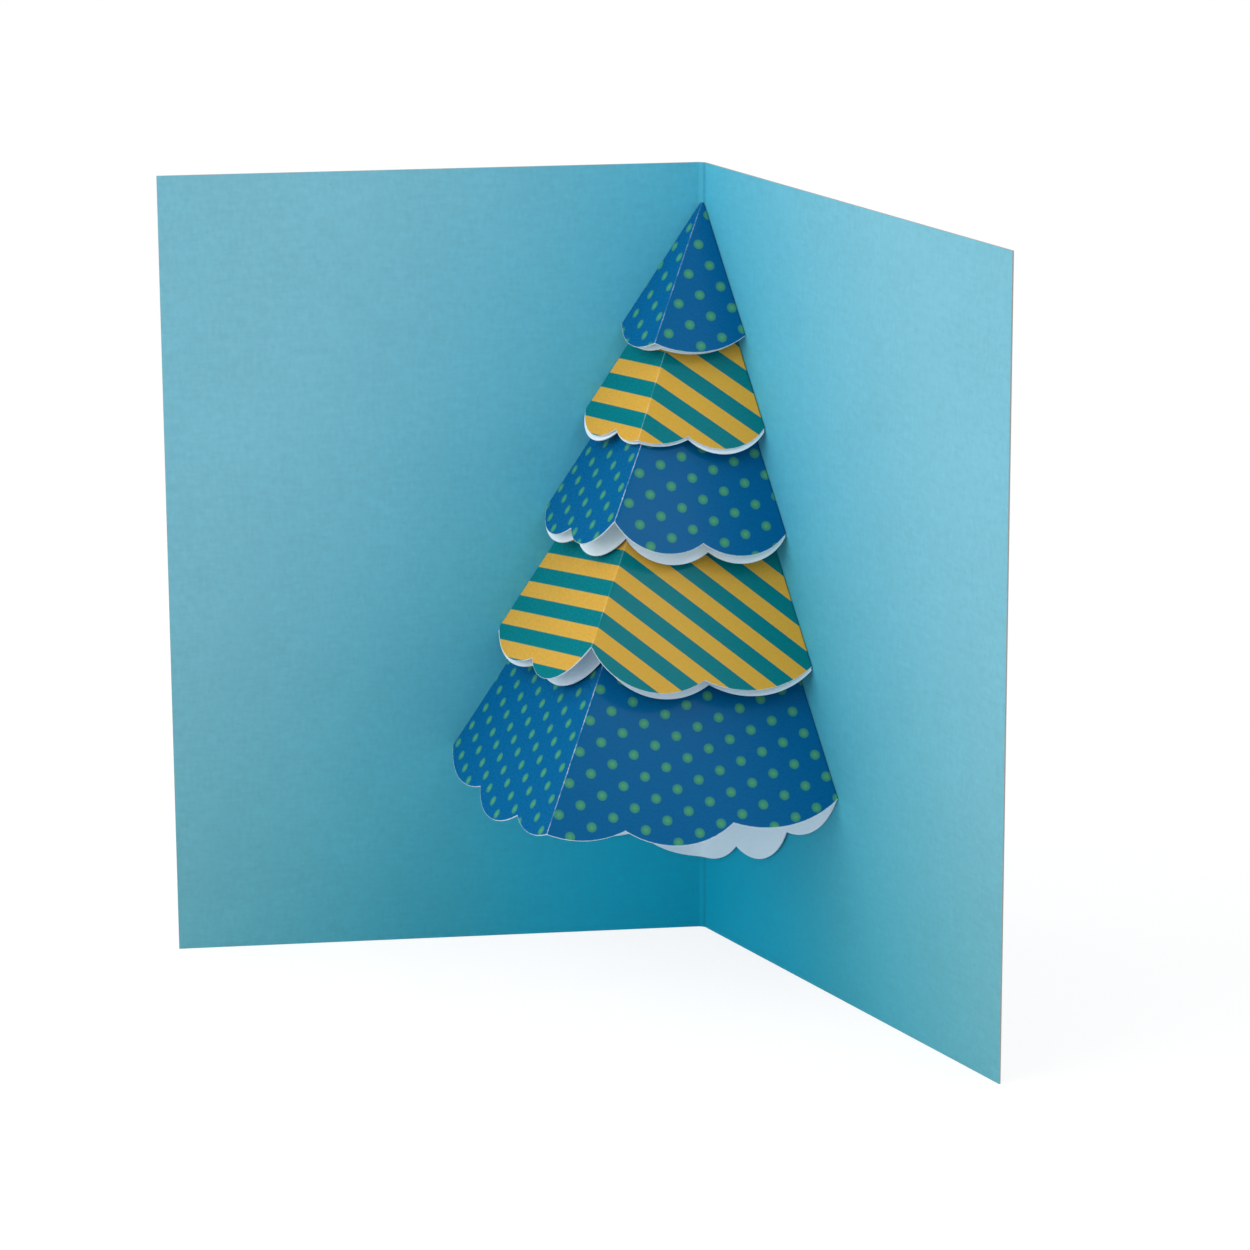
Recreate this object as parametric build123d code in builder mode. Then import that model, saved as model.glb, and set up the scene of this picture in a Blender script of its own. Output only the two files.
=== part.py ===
from math import acos, asin, atan2, cos, hypot, radians, sin
import os

from build123d import *

# A pop-up card: one stiff sheet folded down its middle and standing open, with a tree of five
# folded paper tiers across the fold. Millimetres and degrees. The Z axis is the line where the
# planes of the card's two inside faces meet, Z = 0 is the edge it stands on, and it opens to -Y.

# Card
panel_width = 115.0  # from the fold to a free edge
panel_height = 170.0
opening_angle = 113.3  # between the two inside faces
board_thickness = 0.4
fold_radius = 2.0  # inside the fold

# Tree
paper_thickness = 0.25
side_fold_angle = 33.4  # on the card, from its fold down to a tier's side fold
glue_line = 0.1  # between the card and whatever part of a tier lies on it
rear_bend_radius = 6.0  # where the lowest tier's rear sheet crosses the card's fold
ease_opening = 113.3  # the card's opening that the tiers' front_ease is given for

# One entry for each tier, from the top down:
#   below_top   the tier's tip, measured down the fold from the card's top edge
#   front_ease  how much wider each front face is than the side fold angle, at ease_opening
#   rear_reach  how far the rear faces reach past the front ones
#   nest_gap    clear gap from the rear crease, at its rim, to the next tier's front crease
#   rim         one front face's scalloped edge, as (share of the face's angle, radius from the
#               tip): a notch or a belly on the crease, then each in turn to the side fold
tiers = {
    "tree_tier_1": dict(
        below_top=8.5,
        front_ease=0.8,
        rear_reach=0.8,
        nest_gap=2.3,
        rim=[(0.0, 34.8), (0.48, 34.3), (1.0, 31.0)],
    ),
    "tree_tier_2": dict(
        below_top=15.0,
        front_ease=-0.6,
        rear_reach=0.8,
        nest_gap=0.9,
        rim=[(0.0, 49.7), (0.37, 46.3), (0.68, 48.7), (1.0, 45.3)],
    ),
    "tree_tier_3": dict(
        below_top=23.0,
        front_ease=1.6,
        rear_reach=1.2,
        nest_gap=0.7,
        rim=[(0.0, 61.4), (0.27, 65.0), (0.51, 61.6), (0.74, 64.0), (1.0, 59.8)],
    ),
    "tree_tier_4": dict(
        below_top=33.5,
        front_ease=1.1,
        rear_reach=0.4,
        nest_gap=0.7,
        rim=[(0.0, 79.5), (0.28, 85.0), (0.51, 80.6), (0.74, 83.0), (1.0, 79.0)],
    ),
    "tree_tier_5": dict(
        below_top=44.0,
        front_ease=0.9,
        rear_reach=0.0,
        rim=[(0.0, 111.0), (0.24, 105.0), (0.42, 106.4), (0.61, 100.8), (0.8, 102.2), (1.0, 98.4)],
    ),
}

half_opening = radians(opening_angle / 2)
fold_angle = radians(side_fold_angle)
along_fold = cos(fold_angle)
across_fold = sin(fold_angle) * cos(half_opening)


def crease_tilt(face_angle, half_angle):
    # How far a crease leans out from the card's fold, where the faces on both sides of it have
    # this angle at the tip and end in side folds on a card open to twice half_angle.
    across = sin(fold_angle) * cos(half_angle)
    return atan2(across, along_fold) + acos(cos(face_angle) / hypot(across, along_fold))


def front_tilt(front_ease):
    # A front crease leans out by the same share more or less than one with no ease, however far
    # the card is opened, so the tiers stay nested.
    at_ease = radians(ease_opening / 2)
    share = crease_tilt(fold_angle + radians(front_ease), at_ease) / crease_tilt(fold_angle, at_ease)
    return share * crease_tilt(fold_angle, half_opening)


def face_angle(tilt):
    # The angle at the tip of a face whose crease leans out this far.
    return acos(along_fold * cos(tilt) + across_fold * sin(tilt))


def folded_sheet(front_gap, thickness, bend_radius):
    # Plan of a sheet that runs along both panels and bends across the fold. Its front faces lie
    # front_gap in front of the panels' inside faces.
    corner_y = -front_gap / sin(half_opening)
    edge_x = panel_width * sin(half_opening)
    edge_y = corner_y - panel_width * cos(half_opening)
    with BuildSketch(Plane.XY) as plan:
        with BuildLine():
            FilletPolyline((-edge_x, edge_y), (0, corner_y), (edge_x, edge_y), radius=bend_radius)
            offset(amount=thickness, side=Side.LEFT, closed=True)
        make_face()
    return plan.sketch


def face(tip, tilt, rim, reach, depth, both_ways=False):
    # One flat face to the right of its crease. It is drawn on the tier's inner surface with its
    # mirror image past the crease, thickened, and cut off at the crease.
    crease = Vector(0, -sin(tilt), -cos(tilt))
    surface = Plane(origin=tip, x_dir=crease, z_dir=crease.cross(side_fold))
    angle = face_angle(tilt)
    right = [
        ((radius + reach) * cos(share * angle), (radius + reach) * sin(share * angle))
        for share, radius in rim
    ]
    edge = [(x, -y) for x, y in reversed(right) if y > 0] + right
    with BuildPart() as sheet:
        with BuildSketch(surface):
            with BuildLine():
                Line((0, 0), edge[0])
                for start, middle, end in zip(edge[:-2:2], edge[1::2], edge[2::2]):
                    ThreePointArc(start, middle, end)
                Line(edge[-1], (0, 0))
            make_face()
        extrude(amount=depth, both=both_ways)
        split(bisect_by=Plane.YZ, keep=Keep.TOP)
    return sheet.part


# Down the right-hand side fold, parallel to that panel, the same for every tier.
side_fold = Vector(
    sin(fold_angle) * sin(half_opening), -sin(fold_angle) * cos(half_opening), -cos(fold_angle)
)
front_tilts = [front_tilt(tier["front_ease"]) for tier in tiers.values()]

os.makedirs("parts", exist_ok=True)

# The card, front and back cover in one folded sheet.
with BuildPart() as card_base:
    add(folded_sheet(0, board_thickness, fold_radius))
    extrude(amount=panel_height)
card_base.part.label = "card_base"
export_step(card_base.part, "parts/card_base.step")

# The tree. Each tier is one closed sheet of two front and two rear faces, open below.
for number, (name, tier) in enumerate(tiers.items()):
    rim, reach = tier["rim"], tier["rear_reach"]
    inner_gap = glue_line + paper_thickness
    tip = Vector(0, -inner_gap / sin(half_opening), panel_height - tier["below_top"])
    on_card = number == len(tiers) - 1
    if on_card:
        rear_sheet = face(tip, 0, rim, reach, rear_bend_radius, both_ways=True)
    else:
        step = list(tiers.values())[number + 1]["below_top"] - tier["below_top"]
        next_tilt = front_tilts[number + 1]
        lead = step * sin(next_tilt) - tier["nest_gap"] - 2 * paper_thickness
        rear_tilt = next_tilt - asin(lead / (rim[0][1] + reach))
        rear_sheet = face(tip, rear_tilt, rim, reach, -paper_thickness)
    front_sheet = face(tip, front_tilts[number], rim, 0, paper_thickness)
    with BuildPart() as folded_tier:
        add(rear_sheet)
        if on_card:
            mirror(about=Plane.YZ)
            with BuildSketch(Plane.XY):
                add(folded_sheet(inner_gap, paper_thickness, rear_bend_radius))
            extrude(amount=panel_height, mode=Mode.INTERSECT)
            split(bisect_by=Plane.YZ, keep=Keep.TOP)
        add(front_sheet)
        with BuildSketch(Plane(origin=tip, z_dir=side_fold)):
            Circle(paper_thickness)
        extrude(amount=rim[-1][1] + reach)
        mirror(about=Plane.YZ)
        with BuildSketch(Plane.XY):
            add(folded_sheet(glue_line / 2, glue_line / 2 + board_thickness, fold_radius))
        extrude(amount=panel_height, mode=Mode.SUBTRACT)
    folded_tier.part.label = name
    export_step(folded_tier.part, f"parts/{name}.step")
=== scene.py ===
import math
import bpy
from mathutils import Matrix, Vector


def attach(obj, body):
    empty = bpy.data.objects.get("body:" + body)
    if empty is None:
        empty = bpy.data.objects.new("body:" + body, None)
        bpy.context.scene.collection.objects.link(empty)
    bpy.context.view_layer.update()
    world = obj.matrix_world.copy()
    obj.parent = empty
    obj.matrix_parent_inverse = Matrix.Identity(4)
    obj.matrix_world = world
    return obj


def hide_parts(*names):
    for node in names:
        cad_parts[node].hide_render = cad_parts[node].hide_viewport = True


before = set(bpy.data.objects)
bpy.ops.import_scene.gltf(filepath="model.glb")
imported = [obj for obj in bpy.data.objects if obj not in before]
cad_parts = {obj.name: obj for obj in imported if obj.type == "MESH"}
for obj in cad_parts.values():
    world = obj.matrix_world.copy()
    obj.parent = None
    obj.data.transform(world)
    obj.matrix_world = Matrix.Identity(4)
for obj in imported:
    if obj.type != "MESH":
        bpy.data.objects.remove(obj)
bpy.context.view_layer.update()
mm = 0.001
mapPerMetre = 10  # units of a flat-sheet map in a metre of sheet


def srgb(red, green, blue):  # a colour as 0 to 255 on screen, for a shader socket
    parts = [c / 255 for c in (red, green, blue)]
    return [c / 12.92 if c <= 0.04045 else ((c + 0.055) / 1.055) ** 2.4 for c in parts] + [1.0]


def newGroup(name, inputs, outputs):
    group = bpy.data.node_groups.new(name, "ShaderNodeTree")
    for label, kind, value in inputs:
        socket = group.interface.new_socket(label, in_out="INPUT", socket_type="NodeSocket" + kind)
        if value is not None:
            socket.default_value = value
    for label, kind in outputs:
        group.interface.new_socket(label, in_out="OUTPUT", socket_type="NodeSocket" + kind)
    return group, group.nodes.new("NodeGroupInput"), group.nodes.new("NodeGroupOutput")


def join(tree, source, target):
    tree.links.new(source, target)


def feed(tree, node, values):  # sockets by name or number, each a value or another node's socket
    for key, value in values.items():
        socket = node.inputs[key]
        if isinstance(value, bpy.types.NodeSocket):
            join(tree, value, socket)
        else:
            socket.default_value = value


def doMath(tree, operation, *values, clamp=False):
    node = tree.nodes.new("ShaderNodeMath")
    node.operation = operation
    node.use_clamp = clamp
    feed(tree, node, dict(enumerate(values)))
    return node.outputs[0]


def doVector(tree, operation, *values, out=0):
    node = tree.nodes.new("ShaderNodeVectorMath")
    node.operation = operation
    feed(tree, node, dict(enumerate(values)))
    return node.outputs[out]


def noise(tree, vector, scale, detail=3.0, roughness=0.55):
    node = tree.nodes.new("ShaderNodeTexNoise")
    feed(tree, node, {"Vector": vector, "Scale": scale, "Detail": detail, "Roughness": roughness})
    return node.outputs["Fac"]


def ramp(tree, value, low, high, start=0.0, end=1.0):
    node = tree.nodes.new("ShaderNodeMapRange")
    node.interpolation_type = "SMOOTHSTEP"
    feed(tree, node, {0: value, 1: low, 2: high, 3: start, 4: end})
    return node.outputs[0]


def blendColour(tree, factor, first, second, mode="MIX"):
    node = tree.nodes.new("ShaderNodeMix")
    node.data_type = "RGBA"
    node.blend_type = mode
    feed(tree, node, {0: factor, 6: first, 7: second})
    return node.outputs[2]


grainLook = dict(
    acrossStretch=(1.0, 1.0, 0.5),  # draws the fibres out one way
    alongStretch=(0.3, 0.3, 1.0),  # and the other
    cloudDetail=2.0,
    cloudShare=0.5,  # how much the slow cloudiness counts beside the fibres
    tintGain=0.8,
    tintShift=-1.0,  # brings the middle of the tint near nothing
    heightGain=0.5,
    heights=(0.3, 0.7),  # where a material takes its lowest and its highest roughness
)


def makeGrain():  # paper fibre: a faint weave one way and the other, and slow cloudiness
    inputs = [("Vector", "Vector", None), ("Fibre Scale", "Float", 900.0), ("Cloud Scale", "Float", 18.0)]
    group, start, end = newGroup("paperGrain", inputs, [("Tint", "Float"), ("Height", "Float")])
    across = doVector(group, "MULTIPLY", start.outputs["Vector"], grainLook["acrossStretch"])
    along = doVector(group, "MULTIPLY", start.outputs["Vector"], grainLook["alongStretch"])
    first = noise(group, across, start.outputs["Fibre Scale"])
    second = noise(group, along, start.outputs["Fibre Scale"])
    fibre = doMath(group, "ADD", first, second)
    cloudScale, cloudDetail = start.outputs["Cloud Scale"], grainLook["cloudDetail"]
    cloud = noise(group, start.outputs["Vector"], cloudScale, detail=cloudDetail)
    both = doMath(group, "MULTIPLY_ADD", cloud, grainLook["cloudShare"], fibre)
    tint = doMath(group, "MULTIPLY_ADD", both, grainLook["tintGain"], grainLook["tintShift"])
    join(group, tint, end.inputs["Tint"])
    join(group, doMath(group, "MULTIPLY", fibre, grainLook["heightGain"]), end.inputs["Height"])
    return group


def makeDots():  # round dots on a square lattice with one more dot in each square's middle
    inputs = [("Sheet", "Vector", None), ("First Dot", "Vector", None), ("Pitch", "Float", 7.25)]
    inputs += [("Radius", "Float", 1.05), ("Soft Edge", "Float", 0.12)]
    group, start, end = newGroup("dotLattice", inputs, [("Mask", "Float"), ("Middle", "Float")])
    moved = doVector(group, "SUBTRACT", start.outputs["Sheet"], start.outputs["First Dot"])
    cell = doMath(group, "DIVIDE", 1.0, start.outputs["Pitch"])
    scaled = doVector(group, "SCALE", moved)
    join(group, cell, scaled.node.inputs["Scale"])
    gaps = []
    for shift in (0.5, 0.0):
        placed = doVector(group, "ADD", scaled, (shift, shift, 0.0))
        local = doVector(group, "SUBTRACT", doVector(group, "FRACTION", placed), (0.5, 0.5, 0.0))
        flat = doVector(group, "MULTIPLY", local, (1.0, 1.0, 0.0))
        gaps.append(doVector(group, "LENGTH", flat, out=1))
    nearest = doMath(group, "MULTIPLY", doMath(group, "MINIMUM", *gaps), start.outputs["Pitch"])
    radius, soft = start.outputs["Radius"], start.outputs["Soft Edge"]
    inner, outer = doMath(group, "SUBTRACT", radius, soft), doMath(group, "ADD", radius, soft)
    join(group, ramp(group, nearest, inner, outer, 1.0, 0.0), end.inputs["Mask"])
    join(group, ramp(group, nearest, 0.0, radius, 1.0, 0.0), end.inputs["Middle"])
    return group


def makeStripes():  # straight stripes across the flat sheet, so they bend at its creases
    inputs = [("Sheet", "Vector", None), ("Direction", "Vector", None), ("Period", "Float", 7.0)]
    inputs += [("Middle At", "Float", 0.0), ("Share", "Float", 0.5), ("Soft Edge", "Float", 0.06)]
    group, start, end = newGroup("diagonalStripes", inputs, [("Mask", "Float")])
    along = doVector(group, "DOT_PRODUCT", start.outputs["Sheet"], start.outputs["Direction"], out=1)
    period, soft = start.outputs["Period"], start.outputs["Soft Edge"]
    turns = doMath(group, "DIVIDE", doMath(group, "SUBTRACT", along, start.outputs["Middle At"]), period)
    within = doMath(group, "FRACT", doMath(group, "ADD", turns, 0.5))
    fromMiddle = doMath(group, "ABSOLUTE", doMath(group, "SUBTRACT", within, 0.5))
    offset = doMath(group, "MULTIPLY", fromMiddle, period)
    half = doMath(group, "MULTIPLY", doMath(group, "MULTIPLY", start.outputs["Share"], 0.5), period)
    low, high = doMath(group, "SUBTRACT", half, soft), doMath(group, "ADD", half, soft)
    join(group, ramp(group, offset, low, high, 1.0, 0.0), end.inputs["Mask"])
    return group


wearLook = dict(  # each four: the noise from and to, and the share of the width or strength there
    crackleScale=1.6,
    crackleDetail=5.0,
    crackleRoughness=0.7,
    patchScale=0.22,
    patchDetail=2.0,
    foldCrackle=(0.35, 0.75, 0.25, 1.6),
    foldPatches=(0.4, 0.6, 0.15, 1.0),
    rimCrackle=(0.3, 0.8, 0.5, 1.8),
    rimStrength=0.9,
)


def makeWear():  # ink cracked off along a fold, and scuffs at the rim
    inputs = [("Sheet", "Vector", None), ("Fold Distance", "Float", 9.0), ("Rim Distance", "Float", 9.0)]
    inputs += [("Fold Width", "Float", 0.13), ("Rim Width", "Float", 0.1), ("Fold Amount", "Float", 1.0)]
    group, start, end = newGroup("paperWear", inputs, [("Mask", "Float")])
    sheet, look = start.outputs["Sheet"], wearLook
    crackle = noise(group, sheet, look["crackleScale"], look["crackleDetail"], look["crackleRoughness"])
    patchy = noise(group, sheet, look["patchScale"], look["patchDetail"])
    uneven = ramp(group, crackle, *look["foldCrackle"])
    reach = doMath(group, "MULTIPLY", start.outputs["Fold Width"], uneven)
    fold = ramp(group, start.outputs["Fold Distance"], 0.0, reach, 1.0, 0.0)
    fold = doMath(group, "MULTIPLY", fold, ramp(group, patchy, *look["foldPatches"]))
    fold = doMath(group, "MULTIPLY", fold, start.outputs["Fold Amount"])
    uneven = ramp(group, crackle, *look["rimCrackle"])
    edge = doMath(group, "MULTIPLY", start.outputs["Rim Width"], uneven)
    rim = ramp(group, start.outputs["Rim Distance"], 0.0, edge, look["rimStrength"], 0.0)
    join(group, doMath(group, "MAXIMUM", fold, rim), end.inputs["Mask"])
    return group


grainGroup = makeGrain()
dotsGroup = makeDots()
stripesGroup = makeStripes()
wearGroup = makeWear()


def useGroup(tree, group, **values):
    node = tree.nodes.new("ShaderNodeGroup")
    node.node_tree = group
    feed(tree, node, {key.replace("_", " "): value for key, value in values.items()})
    return node


inks = dict(
    # the board goes from cardMiddle to cardPaleLight away from the fold and higher up: painted light and
    # sheen, partly the board's own tone
    cardPaleLight=srgb(127, 194, 211),
    cardMiddle=srgb(42, 172, 202),
    # painted shade and bounced light: a deeper colour at the foot of the fold
    cardFoldShade=srgb(0, 172, 202),
    cardFootShade=[0.8, 0.84, 0.78, 1.0],  # painted shade: what the colour is multiplied by towards the standing edge
    # painted shade: a darker line in the score's groove
    cardScoreShade=srgb(20, 120, 150),
    dotBlue=srgb(0, 98, 152),
    dotGreen=srgb(60, 140, 122),
    dotLight=srgb(82, 164, 122),
    stripeGold=srgb(226, 173, 66),
    stripeTeal=srgb(2, 124, 132),
    # white paper; its blue cast is partly painted light bounced off the blue card
    paperWhite=srgb(236, 248, 255),
    paperEdge=srgb(222, 228, 236),
    boardCore=srgb(176, 178, 172),
)
boardLook = dict(  # distances in millimetres on the flat sheet
    fibreScale=1100.0,
    cloudScale=45.0,
    footHeight=120.0,  # where the painted shade towards the standing edge begins
    heightShare=0.4,  # how much height counts, beside distance from the fold, in the painted light
    # painted light: the board paler away from the fold and higher up
    paintedLightShift=-38.0,
    paintedLightRamp=(-15.0, 115.0),
    foldReach=60.0,  # how far the deep colour, painted shade and bounced light, spreads from the fold
    scoreShade=(0.1, 0.5, 0.36, 0.0),  # painted shade in the score's groove: distance from and to, and the strength there
    tint=0.24,
    roughness=(0.66, 0.8),
    specular=0.2,
    bump=0.06 * mm,
)
plainLook = dict(
    fibreScale=2200.0,
    cloudScale=60.0,
    tint=0.1,
    boardTint=0.2,  # at the card's cut edge
    roughness=(0.78, 0.9),
    specular=0.2,
    bump=0.03 * mm,
)
printLook = dict(
    fibreScale=2400.0,
    cloudScale=40.0,
    tint=0.12,
    roughness=(0.24, 0.32),
    wornRoughness=0.35,  # added where the ink is off
    specular=0.06,
    bump=0.01 * mm,
)


def newMaterial(name):
    material = bpy.data.materials.new(name)
    material.use_nodes = True
    tree = material.node_tree
    shader = tree.nodes["Principled BSDF"]
    where = tree.nodes.new("ShaderNodeTexCoord").outputs["Object"]
    return material, tree, shader, where


def tinted(tree, colour, tint, strength):  # brightens and darkens a colour by a signed tint
    factor = doMath(tree, "ADD", doMath(tree, "MULTIPLY", tint, strength), 1.0)
    node = tree.nodes.new("ShaderNodeHueSaturation")
    feed(tree, node, {"Value": factor, "Color": colour})
    return node.outputs[0]


def bumped(tree, shader, height, distance):
    node = tree.nodes.new("ShaderNodeBump")
    feed(tree, node, {"Height": height, "Distance": distance})
    join(tree, node.outputs[0], shader.inputs["Normal"])


def sheetPosition(tree, mapName):  # the piece's flat-sheet map, in millimetres
    node = tree.nodes.new("ShaderNodeUVMap")
    node.uv_map = mapName
    perUnit = 1 / (mm * mapPerMetre)
    return doVector(tree, "MULTIPLY", node.outputs[0], (perUnit, perUnit, 0.0))


def grained(tree, where, look):
    scales = dict(Fibre_Scale=look["fibreScale"], Cloud_Scale=look["cloudScale"])
    return useGroup(tree, grainGroup, Vector=where, **scales)


def grainRoughness(tree, grain, look):
    return ramp(tree, grain.outputs["Height"], *grainLook["heights"], *look["roughness"])


def cardMaterial():
    material, tree, shader, where = newMaterial("printedBoard")
    look = boardLook
    grain = grained(tree, where, look)
    sheet = tree.nodes.new("ShaderNodeSeparateXYZ")
    join(tree, sheetPosition(tree, "sheetMap"), sheet.inputs[0])
    fromFold = doMath(tree, "ABSOLUTE", sheet.outputs[0])
    # painted shade: darker towards the standing edge
    low = ramp(tree, sheet.outputs[1], 0.0, look["footHeight"], 1.0, 0.0)
    # painted light and sheen, partly the board's own tone: paler away from the fold and higher up
    raised = doMath(tree, "MULTIPLY_ADD", sheet.outputs[1], look["heightShare"], look["paintedLightShift"])
    paintedLight = ramp(tree, doMath(tree, "ADD", fromFold, raised), *look["paintedLightRamp"])
    colour = blendColour(tree, paintedLight, inks["cardMiddle"], inks["cardPaleLight"])
    # painted shade and bounced light: a deeper colour at the foot of the fold
    inner = doMath(tree, "MULTIPLY", ramp(tree, fromFold, 0.0, look["foldReach"], 1.0, 0.0), low)
    shade = doMath(tree, "MULTIPLY", low, doMath(tree, "SUBTRACT", 1.0, inner))
    colour = blendColour(tree, shade, colour, inks["cardFootShade"], "MULTIPLY")
    colour = blendColour(tree, inner, colour, inks["cardFoldShade"])
    # painted shade: a darker line in the score's groove
    fromScore = doMath(tree, "ABSOLUTE", doMath(tree, "SUBTRACT", sheet.outputs[0], card["scoreAt"] / mm))
    scoreShadeMask = ramp(tree, fromScore, *look["scoreShade"])
    colour = blendColour(tree, scoreShadeMask, colour, inks["cardScoreShade"])
    colour = tinted(tree, colour, grain.outputs["Tint"], look["tint"])
    join(tree, colour, shader.inputs["Base Color"])
    join(tree, grainRoughness(tree, grain, look), shader.inputs["Roughness"])
    shader.inputs["Specular IOR Level"].default_value = look["specular"]
    bumped(tree, shader, grain.outputs["Height"], look["bump"])
    return material


def plainPaper(name, colour, tint=plainLook["tint"]):
    material, tree, shader, where = newMaterial(name)
    grain = grained(tree, where, plainLook)
    join(tree, tinted(tree, colour, grain.outputs["Tint"], tint), shader.inputs["Base Color"])
    join(tree, grainRoughness(tree, grain, plainLook), shader.inputs["Roughness"])
    shader.inputs["Specular IOR Level"].default_value = plainLook["specular"]
    bumped(tree, shader, grain.outputs["Height"], plainLook["bump"])
    return material


def printedPaper(name, motif, setup):
    material, tree, shader, where = newMaterial(name)
    sheet = sheetPosition(tree, "sheetMap")
    wearPlace = tree.nodes.new("ShaderNodeSeparateXYZ")
    join(tree, sheetPosition(tree, "wearMap"), wearPlace.inputs[0])
    grain = grained(tree, where, printLook)
    if motif == "dots":
        x, y = setup["firstDot"]
        dots = useGroup(
            tree, dotsGroup, Sheet=sheet, First_Dot=(x, y, 0.0),
            Pitch=setup["pitch"], Radius=setup["radius"],
        )
        dotInk = blendColour(tree, dots.outputs["Middle"], inks["dotGreen"], inks["dotLight"])
        ink = blendColour(tree, dots.outputs["Mask"], inks["dotBlue"], dotInk)
    else:
        lean = math.radians(setup["lean"])
        direction = (-math.sin(lean), math.cos(lean), 0.0)
        stripes = useGroup(
            tree, stripesGroup, Sheet=sheet, Direction=direction,
            Period=setup["period"], Middle_At=setup["middleAt"],
        )
        ink = blendColour(tree, stripes.outputs["Mask"], inks["stripeTeal"], inks["stripeGold"])
    ink = tinted(tree, ink, grain.outputs["Tint"], printLook["tint"])
    wear = useGroup(
        tree, wearGroup, Sheet=sheet, Fold_Amount=setup["creaseWear"],
        Fold_Distance=wearPlace.outputs[0], Rim_Distance=wearPlace.outputs[1],
    )
    colour = blendColour(tree, wear.outputs["Mask"], ink, inks["paperWhite"])
    join(tree, colour, shader.inputs["Base Color"])
    bare = doMath(tree, "MULTIPLY", wear.outputs["Mask"], printLook["wornRoughness"])
    rough = doMath(tree, "ADD", grainRoughness(tree, grain, printLook), bare, clamp=True)
    join(tree, rough, shader.inputs["Roughness"])
    shader.inputs["Specular IOR Level"].default_value = printLook["specular"]
    bumped(tree, shader, grain.outputs["Height"], printLook["bump"])
    return material


whitePaper = plainPaper("whitePaper", inks["paperWhite"])
cutPaper = plainPaper("cutPaper", inks["paperEdge"])
cutBoard = plainPaper("cutBoard", inks["boardCore"], plainLook["boardTint"])
print("materials ready")

card = dict(
    width=115 * mm,
    height=170 * mm,
    opening=math.radians(113.3),
    thickness=0.4 * mm,
    foldRadius=2.0 * mm,
    scoreAt=0.5 * mm,  # the pressed line beside the fold, along the sheet, where a painted shade line also lies
    scoreDepth=0.07 * mm,
    scoreWidth=0.3 * mm,
    ridgeShare=0.6,  # the board pushed up beside the line, as a share of its depth
    ridgeAt=2.2,  # how far from the line it stands, in the line's own widths
    nearFold=6 * mm,  # where the finer columns end
    nearSteps=48,
    farSteps=40,
    rows=60,
    edgeRound=0.06 * mm,
    edgeSegments=2,
    edgeAngle=math.radians(60),  # only edges sharper than this are rounded
)
halfOpening = card["opening"] / 2
panelOut = Vector((math.sin(halfOpening), -math.cos(halfOpening), 0))  # along the right-hand panel
panelFace = Vector((-math.cos(halfOpening), -math.sin(halfOpening), 0))  # its inside face's normal


def finishedObject(name, mesh, materialList, slotName, *nodes):
    for item in materialList:
        mesh.materials.append(item)
    obj = bpy.data.objects.new(name, mesh)
    bpy.context.scene.collection.objects.link(obj)
    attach(obj, "root")
    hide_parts(*nodes)
    return obj


def cardProfile(u):  # inside surface point and normal at distance u along the sheet from the fold
    radius = card["foldRadius"]
    turn = math.pi / 2 - halfOpening
    reach = radius * turn
    tangent = radius / math.tan(halfOpening)
    distance = abs(u)
    if distance > reach:
        point = panelOut * (tangent + distance - reach)
        normal = panelFace.copy()
    else:
        angle = distance / radius
        centre = Vector((0, -radius / math.sin(halfOpening), 0))
        normal = Vector((-math.sin(angle), -math.cos(angle), 0))
        point = centre - normal * radius
    if u < 0:
        point.x, normal.x = -point.x, -normal.x
    return point, normal


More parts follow.
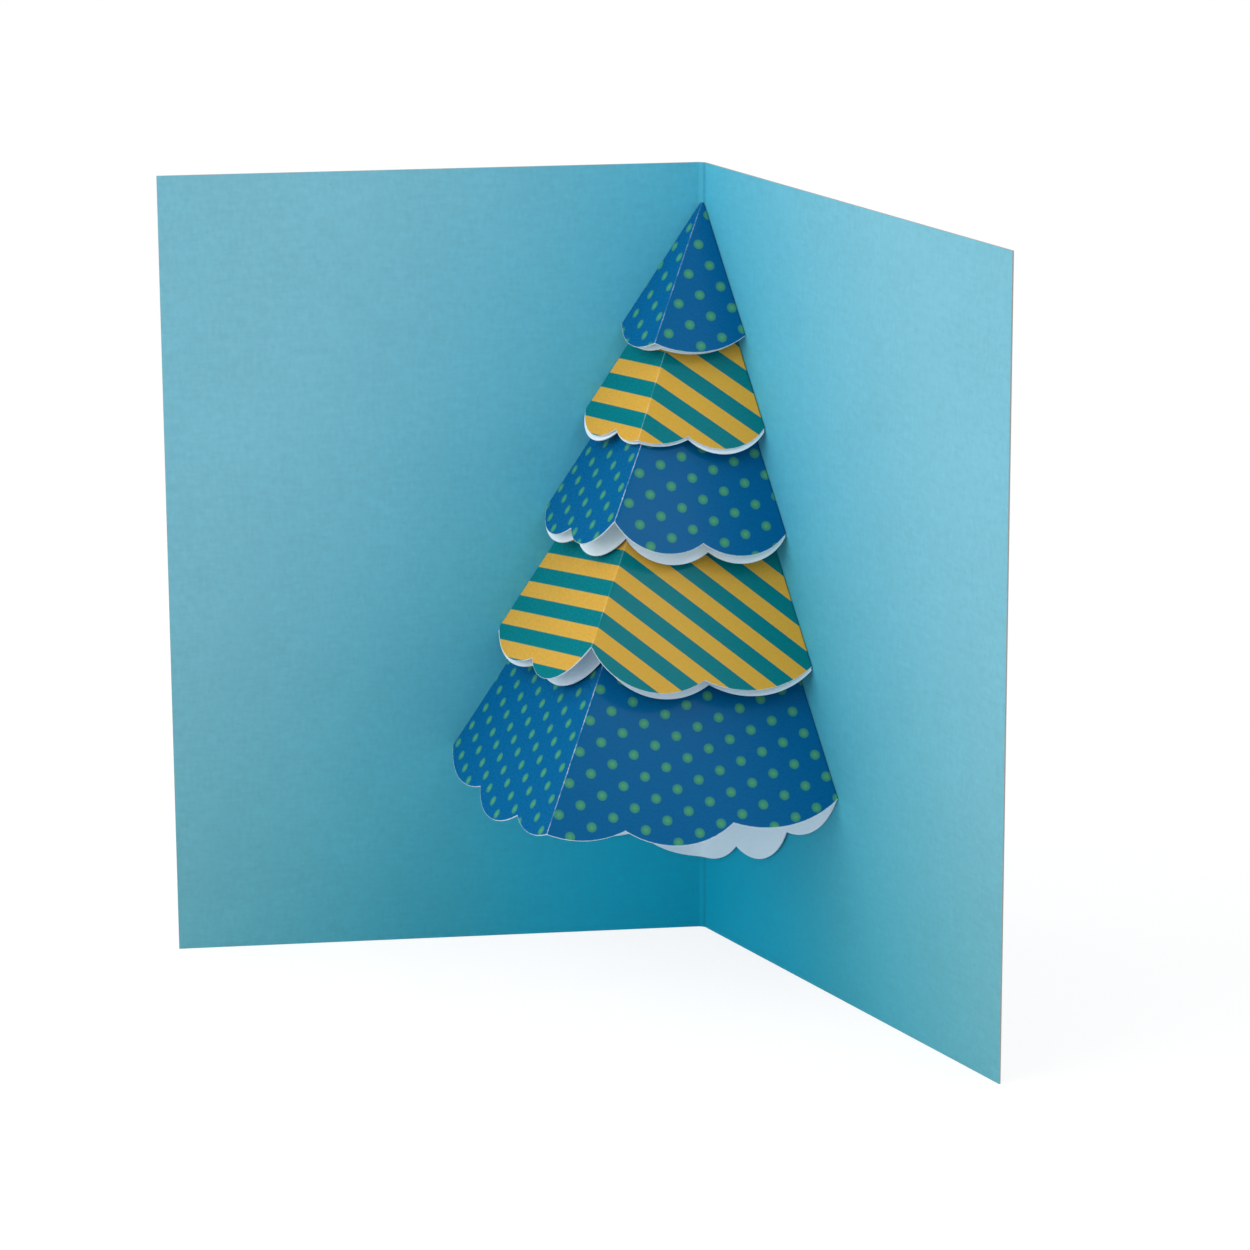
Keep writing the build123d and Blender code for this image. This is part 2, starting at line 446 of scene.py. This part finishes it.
def buildCard():
    reach = card["foldRadius"] * (math.pi / 2 - halfOpening)
    longest = card["width"] - card["foldRadius"] / math.tan(halfOpening) + reach
    near, nearSteps, farSteps = card["nearFold"], card["nearSteps"], card["farSteps"]
    stops = sorted({round(s * near * k / nearSteps, 7) for k in range(nearSteps + 1) for s in (-1, 1)})
    far = [near + (longest - near) * (k / farSteps) for k in range(1, farSteps + 1)]
    stops = [-u for u in reversed(far)] + stops + far
    heights = [card["height"] * k / card["rows"] for k in range(card["rows"] + 1)]
    points, sheetPlace = [], []
    for side in (0, 1):
        for u in stops:
            point, normal = cardProfile(u)
            off = (u - card["scoreAt"]) / card["scoreWidth"]
            groove = -card["scoreDepth"] * math.exp(-off * off)
            ridge = card["ridgeShare"] * card["scoreDepth"] * math.exp(-((off + card["ridgeAt"]) ** 2))
            lift = (groove + ridge) if side == 0 else groove - card["thickness"]
            for z in heights:
                points.append(point + normal * lift + Vector((0, 0, z)))
                sheetPlace.append((u * mapPerMetre, z * mapPerMetre))
    rows, columns = len(heights), len(stops)

    def at(side, column, row):
        return (side * columns + column) * rows + row

    faces, kinds = [], []
    for i in range(columns - 1):
        for j in range(rows - 1):
            faces.append((at(0, i, j), at(0, i + 1, j), at(0, i + 1, j + 1), at(0, i, j + 1)))
            faces.append((at(1, i, j), at(1, i, j + 1), at(1, i + 1, j + 1), at(1, i + 1, j)))
            kinds += [0, 0]
        top = rows - 1
        faces.append((at(0, i, 0), at(1, i, 0), at(1, i + 1, 0), at(0, i + 1, 0)))
        faces.append((at(0, i, top), at(0, i + 1, top), at(1, i + 1, top), at(1, i, top)))
        kinds += [1, 1]
    for j in range(rows - 1):
        last = columns - 1
        faces.append((at(0, 0, j), at(0, 0, j + 1), at(1, 0, j + 1), at(1, 0, j)))
        faces.append((at(0, last, j), at(1, last, j), at(1, last, j + 1), at(0, last, j + 1)))
        kinds += [1, 1]
    mesh = bpy.data.meshes.new("cardSheet")
    mesh.from_pydata(points, [], faces)
    mesh.polygons.foreach_set("material_index", kinds)
    flat = mesh.uv_layers.new(name="sheetMap")
    flat.data.foreach_set("uv", [value for loop in mesh.loops for value in sheetPlace[loop.vertex_index]])
    mesh.update()
    for polygon in mesh.polygons:
        polygon.use_smooth = True
    obj = finishedObject("cardSheet", mesh, [cardMaterial(), cutBoard], "card_stock", "card_base")
    bevel = obj.modifiers.new("softEdges", "BEVEL")
    bevel.width = card["edgeRound"]
    bevel.segments = card["edgeSegments"]
    bevel.limit_method = "ANGLE"
    bevel.angle_limit = card["edgeAngle"]
    bevel.harden_normals = True
    return obj


buildCard()
print("card built")

treeSizes = dict(
    paper=0.25 * mm,
    glueLine=0.1 * mm,
    sideFold=math.radians(33.4),
    creaseRound=0.15 * mm,
    rearLift=0.5 * mm,
    rearBend=2.2 * mm,  # how far the lowest tier's rear sheet rounds off the card's fold
    columns=44,  # across each face
    rings=40,  # from tip to rim
    foldSteps=6,  # round each side fold
    tipRadius=0.2 * mm,
    nearFolds={0.003, 0.008, 0.988, 0.997},  # extra columns, as shares of the way across a face
    creaseShare=0.3,  # a crease's rounding is at most this share of the distance to the tip
    sideEase=6,  # the power by which the rear rim's extra reach dies out at the side fold
    noCrease=9.0,  # the wear map's distance from a crease where there is none near
)
tiers = [
    dict(
        node="tree_tier_1", below=8.5, frontEase=0.8, rearReach=-0.4, nestGap=2.3, bow=0.1,
        rim=[(0.0, 34.8), (0.48, 34.3), (1.0, 31.0)],
        motif="dots", setup=dict(firstDot=(2.05, 17.0), pitch=7.28, radius=1.08, creaseWear=0.3),
    ),
    dict(
        node="tree_tier_2", below=15.0, frontEase=-0.6, rearReach=0.2, nestGap=0.9, bow=0.1,
        rim=[(0.0, 49.7), (0.37, 46.3), (0.68, 48.7), (1.0, 45.3)],
        rearRim=[(0.0, 49.9), (0.37, 46.7), (0.68, 49.6), (1.0, 45.8)],
        motif="stripes", setup=dict(lean=17.2, period=6.95, middleAt=4.85, creaseWear=0.3),
    ),
    dict(
        node="tree_tier_3", below=23.0, frontEase=1.6, rearReach=1.0, nestGap=0.7, bow=0.12,
        rim=[(0.0, 62.2), (0.27, 65.8), (0.51, 62.0), (0.74, 64.5), (1.0, 60.8)],
        rearRim=[(0.0, 62.4), (0.27, 66.2), (0.51, 62.7), (0.74, 65.5), (1.0, 61.2)],
        motif="dots", setup=dict(firstDot=(1.5, 49.75), pitch=7.24, radius=1.08, creaseWear=0.7),
    ),
    dict(
        node="tree_tier_4", below=33.5, frontEase=1.1, rearReach=-0.2, nestGap=0.7, bow=0.12,
        rim=[(0.0, 79.7), (0.28, 85.6), (0.51, 81.2), (0.74, 83.2), (1.0, 79.8)],
        rearRim=[(0.0, 79.4), (0.28, 85.1), (0.51, 81.1), (0.74, 83.9), (1.0, 80.4)],
        motif="stripes", setup=dict(lean=17.2, period=7.0, middleAt=3.47, creaseWear=0.22),
    ),
    dict(
        node="tree_tier_5", below=44.0, frontEase=0.9, rearReach=0.0, nestGap=None, bow=0.12,
        rim=[(0.0, 111.5), (0.24, 105.8), (0.42, 107.0), (0.61, 101.2), (0.8, 102.4), (1.0, 98.6)],
        rearRim=[(0.0, 109.4), (0.24, 104.3), (0.42, 106.2), (0.61, 100.8), (0.8, 102.2), (1.0, 98.4)],
        motif="dots", setup=dict(firstDot=(1.0, 92.06), pitch=7.27, radius=1.08, creaseWear=0.65),
    ),
]
alongFold = math.cos(treeSizes["sideFold"])
acrossFold = math.sin(treeSizes["sideFold"]) * math.cos(halfOpening)
sideFold = panelOut * math.sin(treeSizes["sideFold"]) - Vector((0, 0, alongFold))


def creaseTilt(angle):  # lean of a crease between two faces of this angle whose side folds lie on the card
    return math.atan2(acrossFold, alongFold) + math.acos(math.cos(angle) / math.hypot(alongFold, acrossFold))


def faceAngle(tilt):
    return math.acos(alongFold * math.cos(tilt) + acrossFold * math.sin(tilt))


for tier in tiers:
    tier["frontTilt"] = creaseTilt(treeSizes["sideFold"] + math.radians(tier["frontEase"]))
for tier, nextTier in zip(tiers, tiers[1:] + [None]):
    tier["rearTilt"] = 0.0
    if nextTier:
        lean = nextTier["frontTilt"]
        clear = (nextTier["below"] - tier["below"]) * math.sin(lean) - tier["nestGap"]
        lead = clear - 2 * treeSizes["paper"] / mm
        tier["rearTilt"] = lean - math.asin(lead / (tier["rim"][0][1] + tier["rearReach"]))


def rimRadius(rim, angle, share):  # from the tip to the scalloped edge, by circles through its points
    spots = [(r * math.cos(s * angle), r * math.sin(s * angle)) for s, r in rim]
    shares = [s for s, r in rim]
    if len(rim) % 2 == 0:  # a belly on the crease: its scallop starts on the mirror side
        spots = [(spots[1][0], -spots[1][1])] + spots
        shares = [-shares[1]] + shares
    for k in range(0, len(spots) - 2, 2):
        if share <= shares[k + 2] + 1e-9:  # a hair more, for rounding
            (ax, ay), (bx, by), (cx, cy) = spots[k : k + 3]
            d = 2 * (ax * (by - cy) + bx * (cy - ay) + cx * (ay - by))
            a2, b2, c2 = ax * ax + ay * ay, bx * bx + by * by, cx * cx + cy * cy
            ox = (a2 * (by - cy) + b2 * (cy - ay) + c2 * (ay - by)) / d
            oy = (a2 * (cx - bx) + b2 * (ax - cx) + c2 * (bx - ax)) / d
            radius2 = (ax - ox) ** 2 + (ay - oy) ** 2
            toward = math.cos(share * angle) * ox + math.sin(share * angle) * oy
            return (toward + math.sqrt(toward * toward - ox * ox - oy * oy + radius2)) * mm
    return rim[-1][1] * mm


def scaleVector(tree, vector, factor):
    node = tree.nodes.new("ShaderNodeVectorMath")
    node.operation = "SCALE"
    feed(tree, node, {"Vector": vector, "Scale": factor})
    return node.outputs[0]


def readAttribute(tree, name, kind="FLOAT"):
    node = tree.nodes.new("GeometryNodeInputNamedAttribute")
    node.data_type = kind
    node.inputs["Name"].default_value = name
    return node.outputs["Attribute"]


def vectorOf(tree, x, y, z):
    node = tree.nodes.new("ShaderNodeCombineXYZ")
    feed(tree, node, {0: x, 1: y, 2: z})
    return node.outputs[0]


# The node tree that folds a cut sheet: every point of it knows its share of the way across its
# face, its distance from the tip, its side, its layer of the paper and its turn round the side fold.
def makeFolding():
    group = bpy.data.node_groups.new("foldSheet", "GeometryNodeTree")
    group.interface.new_socket("Geometry", in_out="INPUT", socket_type="NodeSocketGeometry")
    sizes = ["Front Tilt", "Rear Tilt", "Front Angle", "Rear Angle", "Front Round", "Rear Round"]
    sizes += ["Front Bow", "Rear Bow", "Rim Radius", "Paper"]
    for label in sizes:
        group.interface.new_socket(label, in_out="INPUT", socket_type="NodeSocketFloat")
    for label in ("Side Fold", "Tip"):
        group.interface.new_socket(label, in_out="INPUT", socket_type="NodeSocketVector")
    for label in ("Printed Side", "Plain Side", "Cut Edge"):
        group.interface.new_socket(label, in_out="INPUT", socket_type="NodeSocketMaterial")
    group.interface.new_socket("Geometry", in_out="OUTPUT", socket_type="NodeSocketGeometry")
    start, end = group.nodes.new("NodeGroupInput").outputs, group.nodes.new("NodeGroupOutput").inputs

    share, reach, side = (readAttribute(group, name) for name in ("share", "reach", "side"))
    rear, layer, turn = (readAttribute(group, name) for name in ("rear", "layer", "turn"))

    def frontOrRear(label):
        change = doMath(group, "SUBTRACT", start["Rear " + label], start["Front " + label])
        return doMath(group, "MULTIPLY_ADD", change, rear, start["Front " + label])

    tilt, angle, rounding, bow = (frontOrRear(label) for label in ("Tilt", "Angle", "Round", "Bow"))
    lean, drop = doMath(group, "SINE", tilt), doMath(group, "COSINE", tilt)
    forward, down = doMath(group, "MULTIPLY", lean, -1.0), doMath(group, "MULTIPLY", drop, -1.0)
    crease = vectorOf(group, 0.0, forward, down)
    sideways = doVector(group, "DOT_PRODUCT", start["Side Fold"], crease, out=1)
    lateral = doVector(group, "SUBTRACT", start["Side Fold"], scaleVector(group, crease, sideways))
    lateral = doVector(group, "NORMALIZE", lateral)
    outward = doVector(group, "NORMALIZE", doVector(group, "CROSS_PRODUCT", crease, start["Side Fold"]))
    outward = scaleVector(group, outward, doMath(group, "MULTIPLY_ADD", rear, -2.0, 1.0))

    swing = doMath(group, "MULTIPLY", share, angle)
    along = doMath(group, "MULTIPLY", reach, doMath(group, "COSINE", swing))
    across = doMath(group, "MULTIPLY", reach, doMath(group, "SINE", swing))
    inner = doMath(group, "SUBTRACT", 1.0, doMath(group, "MULTIPLY", share, share))
    soft = doMath(group, "MINIMUM", rounding, doMath(group, "MULTIPLY", reach, treeSizes["creaseShare"]))
    soft = doMath(group, "MULTIPLY", soft, inner)
    acrossSquare = doMath(group, "MULTIPLY", across, across)
    softSquare = doMath(group, "MULTIPLY", soft, soft)
    rounded = doMath(group, "SQRT", doMath(group, "ADD", acrossSquare, softSquare))
    spread = doVector(group, "MULTIPLY", lateral, vectorOf(group, across, rounded, rounded))
    place = doVector(group, "ADD", scaleVector(group, crease, along), spread)

    facing = doMath(group, "DIVIDE", across, doMath(group, "MAXIMUM", rounded, 1e-7))  # never by nothing
    normal = doVector(group, "MULTIPLY", outward, vectorOf(group, facing, 1.0, 1.0))
    bend = group.nodes.new("ShaderNodeVectorRotate")
    feed(group, bend, {"Vector": doVector(group, "NORMALIZE", normal), "Angle": turn})
    join(group, start["Side Fold"], bend.inputs["Axis"])
    crown = doMath(group, "SINE", doMath(group, "MULTIPLY", share, math.pi))
    outwards = doMath(group, "POWER", doMath(group, "DIVIDE", reach, start["Rim Radius"]), 2.0)
    lift = doMath(group, "MULTIPLY", doMath(group, "MULTIPLY", bow, crown), outwards)
    lift = doMath(group, "MULTIPLY_ADD", layer, start["Paper"], lift)
    place = doVector(group, "ADD", place, scaleVector(group, bend.outputs[0], lift))
    place = doVector(group, "MULTIPLY", place, vectorOf(group, side, 1.0, 1.0))
    place = doVector(group, "ADD", place, start["Tip"])

    moved = group.nodes.new("GeometryNodeSetPosition")
    feed(group, moved, {"Geometry": start["Geometry"], "Position": place})
    whole = group.nodes.new("GeometryNodeRealizeInstances")
    join(group, moved.outputs[0], whole.inputs[0])
    result = whole.outputs[0]
    for number, label in enumerate(("Printed Side", "Plain Side", "Cut Edge")):
        same = group.nodes.new("FunctionNodeCompare")
        same.data_type, same.operation = "INT", "EQUAL"
        feed(group, same, {2: readAttribute(group, "surface", "INT"), 3: number})
        painted = group.nodes.new("GeometryNodeSetMaterial")
        feed(group, painted, {"Geometry": result, "Selection": same.outputs[0], "Material": start[label]})
        result = painted.outputs[0]
    join(group, result, end["Geometry"])
    return group


foldingTree = makeFolding()


def sheetColumns(tier):  # columns round the closed sheet's right half: front face, side fold, rear face
    ease, count = treeSizes["sideEase"], treeSizes["columns"]
    rearRim = tier.get("rearRim") or [(s, r + tier["rearReach"] * (1 - s**ease)) for s, r in tier["rim"]]
    columns = []
    for rear, tilt, rim in ((0, tier["frontTilt"], tier["rim"]), (1, tier["rearTilt"], rearRim)):
        angle = faceAngle(tilt)
        shares = {round(k / count, 5) for k in range(count + 1)} | {s for s, r in rim}
        shares |= treeSizes["nearFolds"]
        made = [
            dict(share=s, radius=rimRadius(rim, angle, s), rear=rear, turn=0.0, angle=angle)
            for s in sorted(shares)
        ]
        columns += made[::-1] if rear else made
        if not rear:
            between = faceNormal(tier["frontTilt"]).angle(faceNormal(tier["rearTilt"]))
            steps = treeSizes["foldSteps"]
            columns += [dict(made[-1], turn=(between - math.pi) * k / steps) for k in range(1, steps)]
            foldAt = len(made) - 1
    frontAngle = columns[0]["angle"]
    for column in columns:
        swing = column["share"] * column["angle"]
        column["flat"] = frontAngle + column["angle"] - swing if column["rear"] else swing
    return columns, foldAt


def faceNormal(tilt):
    return Vector((0, -math.sin(tilt), -math.cos(tilt))).cross(sideFold).normalized()


def cutSheet(tier):  # the closed sheet with what its points know, still lying flat
    columns, foldAt = sheetColumns(tier)
    rings = treeSizes["rings"]
    around = list(range(len(columns))) + [-k for k in range(len(columns) - 2, 0, -1)]  # minus: the left half
    points, known, index = [], [], {}

    def reachAt(column, level):
        return treeSizes["tipRadius"] + (column["radius"] - treeSizes["tipRadius"]) * level / rings

    def place(key, outer, level):
        if not outer and foldAt < abs(key) <= foldAt + treeSizes["foldSteps"]:
            key = foldAt if key > 0 else -foldAt  # the inner side has one line down the side fold
        if (key, outer, level) not in index:
            column = columns[abs(key)]
            reach = reachAt(column, level)
            sign = -1.0 if key < 0 else 1.0
            index[key, outer, level] = len(points)
            points.append((sign * reach * math.sin(column["flat"]), -reach * math.cos(column["flat"]), 0.0))
            known.append((column["share"], reach, sign, column["rear"], float(outer), column["turn"]))
        return index[key, outer, level]

    faces, surfaces, sheetUv, wearUv = [], [], [], []

    def addFace(corners, surface, mirrored):
        ids = [place(*corner) for corner in corners]
        kept = [n for n, i in enumerate(ids) if ids.index(i) == n]
        if len(kept) < 3:
            return
        faces.append([ids[n] for n in kept])
        surfaces.append(surface)
        for n in kept:
            key, outer, level = corners[n]
            column = columns[abs(key)]
            reach = reachAt(column, level)
            sign = -1 if mirrored else 1
            x, y = sign * reach * math.sin(column["flat"]), reach * math.cos(column["flat"])
            sheetUv.extend((x * mapPerMetre, y * mapPerMetre))
            fromCrease = reach * column["share"] * column["angle"] * mapPerMetre
            if column["rear"] or column["turn"]:
                fromCrease = treeSizes["noCrease"]
            wearUv.extend((fromCrease, (column["radius"] - reach) * mapPerMetre))

    for a, b in zip(around, around[1:] + around[:1]):
        left = a < 0 or b < 0
        for k in range(rings):
            addFace([(a, 1, k), (a, 1, k + 1), (b, 1, k + 1), (b, 1, k)], 0, left)
            addFace([(a, 0, k), (b, 0, k), (b, 0, k + 1), (a, 0, k + 1)], 1, left)
        addFace([(a, 1, rings), (a, 0, rings), (b, 0, rings), (b, 1, rings)], 2, left)
        addFace([(a, 1, 0), (b, 1, 0), (b, 0, 0), (a, 0, 0)], 2, left)  # the tip keeps a tiny hole
    mesh = bpy.data.meshes.new(tier["node"])
    mesh.from_pydata(points, [], faces)
    for number, name in enumerate(("share", "reach", "side", "rear", "layer", "turn")):
        layer = mesh.attributes.new(name, "FLOAT", "POINT")
        layer.data.foreach_set("value", [row[number] for row in known])
    mesh.attributes.new("surface", "INT", "FACE").data.foreach_set("value", surfaces)
    for name, values in (("sheetMap", sheetUv), ("wearMap", wearUv)):
        mesh.uv_layers.new(name=name).data.foreach_set("uv", values)
    meeting = {}
    for polygon, surface in zip(mesh.polygons, surfaces):
        polygon.use_smooth = surface != 2
        for key in polygon.edge_keys:
            meeting.setdefault(key, set()).add(surface)
    for edge in mesh.edges:
        edge.use_edge_sharp = len(meeting[edge.key]) > 1
    return mesh


def buildTier(tier):
    number = tier["node"][-1]
    printed = printedPaper(f"{tier['motif']}Print{number}", tier["motif"], tier["setup"])
    flat = bpy.data.objects.new(f"flatSheet{number}", cutSheet(tier))
    bpy.context.scene.collection.objects.link(flat)
    fold = flat.modifiers.new("fold", "NODES")
    fold.node_group = foldingTree
    tipDown = (treeSizes["glueLine"] + treeSizes["paper"]) / math.sin(halfOpening)
    onCard = tier["nestGap"] is None
    values = {
        "Front Tilt": tier["frontTilt"], "Rear Tilt": tier["rearTilt"],
        "Front Angle": faceAngle(tier["frontTilt"]), "Rear Angle": faceAngle(tier["rearTilt"]),
        "Front Round": treeSizes["creaseRound"],
        "Rear Round": treeSizes["rearBend"] if onCard else treeSizes["creaseRound"],
        "Front Bow": tier["bow"] * mm, "Rear Bow": -treeSizes["rearLift"] if onCard else 0.0,
        "Rim Radius": tier["rim"][0][1] * mm, "Paper": treeSizes["paper"],
        "Side Fold": sideFold.normalized(), "Tip": Vector((0, -tipDown, card["height"] - tier["below"] * mm)),
        "Printed Side": printed, "Plain Side": whitePaper, "Cut Edge": cutPaper,
    }
    for item in foldingTree.interface.items_tree:
        if item.in_out == "INPUT" and item.name in values:  # set by the socket, before the first evaluation
            fold[item.identifier] = values[item.name]
    ready = flat.evaluated_get(bpy.context.evaluated_depsgraph_get())
    mesh = bpy.data.meshes.new_from_object(ready)
    mesh.name = tier["node"]
    bpy.data.objects.remove(flat)
    for name in ("share", "reach", "side", "rear", "layer", "turn", "surface"):
        if name in mesh.attributes:
            mesh.attributes.remove(mesh.attributes[name])
    slotName = "dotted_paper" if tier["motif"] == "dots" else "striped_paper"
    return finishedObject(f"tier{number}Sheet", mesh, [], slotName, tier["node"])


for tier in tiers:
    obj = buildTier(tier)
    print(obj.name, len(obj.data.polygons), "faces")

studio = dict(
    floorSize=0.9,
    floorColour=(0.82, 0.9, 0.98, 1.0),
    floorRoughness=0.9,
    floorWhite=0.83,  # the floor's own glow near the object; the shading adds the rest
    floorFade=(0.25, 0.7),  # metres from the middle, over which it turns plain white
    shadowShare=0.25,  # how much of the floor's own shading shows through its white
    skyStrength=0.6,
)
lamps = dict(
    keyLamp=dict(place=(-0.48, -0.57, 0.51), aim=(0, -0.03, 0.08), size=1.0, power=4.15),
    sheenLamp=dict(place=(0.273, -0.135, 0.392), aim=(0.02, -0.03, 0.1), size=0.06, power=0.12),
)
lens = dict(
    azimuth=26.535,  # these three in degrees
    elevation=15.273,
    roll=-0.273,
    distance=1.09705,  # these three in metres
    right=-0.01727,
    up=0.06628,
    focal=143.59,  # millimetres
)


def whiteRays(nodes, links):  # rays that see the white background: straight, mirrored or through
    path = nodes.new("ShaderNodeLightPath")
    seen = path.outputs["Is Camera Ray"]
    for label in ("Is Glossy Ray", "Is Transmission Ray"):
        both = nodes.new("ShaderNodeMath")
        both.operation = "MAXIMUM"
        links.new(seen, both.inputs[0])
        links.new(path.outputs[label], both.inputs[1])
        seen = both.outputs[0]
    return seen


def addFloor():
    half = studio["floorSize"]
    mesh = bpy.data.meshes.new("floor")
    corners = [(-half, -half, 0), (half, -half, 0), (half, half, 0), (-half, half, 0)]
    mesh.from_pydata(corners, [], [(0, 1, 2, 3)])
    obj = bpy.data.objects.new("floor", mesh)
    material, floorTree, shader, where = newMaterial("paleFloor")
    feed(floorTree, shader, {"Base Color": studio["floorColour"], "Roughness": studio["floorRoughness"]})
    far = ramp(floorTree, doVector(floorTree, "LENGTH", where, out=1), *studio["floorFade"])
    share, glow = studio["shadowShare"], studio["floorWhite"]
    white = floorTree.nodes.new("ShaderNodeEmission")
    join(floorTree, doMath(floorTree, "MULTIPLY_ADD", far, 1 - glow, glow), white.inputs["Strength"])
    weak = floorTree.nodes.new("ShaderNodeBsdfDiffuse")
    grey = blendColour(floorTree, far, (share, share, share, 1), (0, 0, 0, 1))
    join(floorTree, grey, weak.inputs["Color"])
    both = floorTree.nodes.new("ShaderNodeAddShader")
    join(floorTree, white.outputs[0], both.inputs[0])
    join(floorTree, weak.outputs[0], both.inputs[1])
    mix = floorTree.nodes.new("ShaderNodeMixShader")
    join(floorTree, whiteRays(floorTree.nodes, floorTree.links), mix.inputs[0])
    join(floorTree, shader.outputs[0], mix.inputs[1])
    join(floorTree, both.outputs[0], mix.inputs[2])
    join(floorTree, mix.outputs[0], floorTree.nodes["Material Output"].inputs["Surface"])
    mesh.materials.append(material)
    bpy.context.scene.collection.objects.link(obj)


def addLamp(name, place, aim, size, power):
    data = bpy.data.lights.new(name, "AREA")
    data.size, data.energy = size, power
    obj = bpy.data.objects.new(name, data)
    toward = Vector(aim) - Vector(place)
    obj.location = place
    obj.rotation_euler = toward.to_track_quat("-Z", "Y").to_euler()
    bpy.context.scene.collection.objects.link(obj)


def addWorld():
    world = bpy.data.worlds.new("studioWorld")
    world.use_nodes = True
    nodes, links = world.node_tree.nodes, world.node_tree.links
    seen = nodes.new("ShaderNodeBackground")
    seen.inputs["Color"].default_value = (1, 1, 1, 1)
    sky = nodes["Background"]
    sky.inputs["Color"].default_value = (1, 1, 1, 1)
    sky.inputs["Strength"].default_value = studio["skyStrength"]
    mix = nodes.new("ShaderNodeMixShader")
    links.new(whiteRays(nodes, links), mix.inputs[0])
    links.new(sky.outputs[0], mix.inputs[1])
    links.new(seen.outputs[0], mix.inputs[2])
    links.new(mix.outputs[0], nodes["World Output"].inputs["Surface"])
    bpy.context.scene.world = world


def addCamera():
    a, e, r = (math.radians(lens[key]) for key in ("azimuth", "elevation", "roll"))
    back = Vector((math.sin(a) * math.cos(e), -math.cos(a) * math.cos(e), math.sin(e)))
    level = Vector((math.cos(a), math.sin(a), 0))
    upright = back.cross(level)
    right = level * math.cos(r) + upright * math.sin(r)
    up = upright * math.cos(r) - level * math.sin(r)
    data = bpy.data.cameras.new("camera")
    data.lens = lens["focal"]
    obj = bpy.data.objects.new("camera", data)
    turned = Matrix((right, up, back)).transposed().to_4x4()
    place = right * lens["right"] + up * lens["up"] + back * lens["distance"]
    obj.matrix_world = Matrix.Translation(place) @ turned
    bpy.context.scene.collection.objects.link(obj)
    bpy.context.scene.camera = obj


addFloor()
for name, lamp in lamps.items():
    addLamp(name, **lamp)
addWorld()
addCamera()
bpy.context.scene.view_settings.view_transform = "Standard"
print("stage ready")
